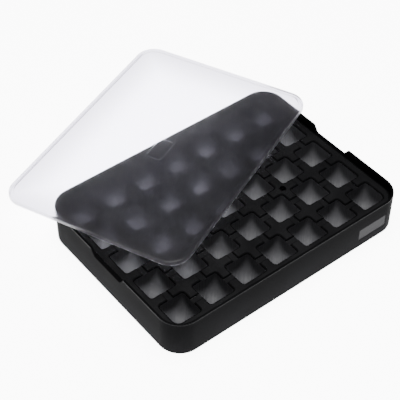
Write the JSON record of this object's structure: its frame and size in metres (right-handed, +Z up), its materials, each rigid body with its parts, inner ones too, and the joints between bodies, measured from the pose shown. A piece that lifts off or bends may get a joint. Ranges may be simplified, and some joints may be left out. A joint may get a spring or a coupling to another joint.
{
  "type": "silicone ice cube tray with lid",
  "caption": "Rectangular silicone ice cube tray with square rounded cells inside a raised rim, and a loose frosted lid lying askew across it.",
  "frame": {"origin": "on the ground, in the middle of the tray's foot", "axes": "+X along the tray's long side, +Y across it towards the side where the lid overhangs, +Z up"},
  "size_m": [0.2288, 0.2413, 0.0355],
  "materials": {
    "tray_silicone": "matte charcoal silicone, smoother inside the cells",
    "lid_frosted": "frosted, translucent"
  },
  "bodies": {
    "root": {"tray": "tray_silicone", "lid": "lid_frosted"}
  },
  "joints": []
}
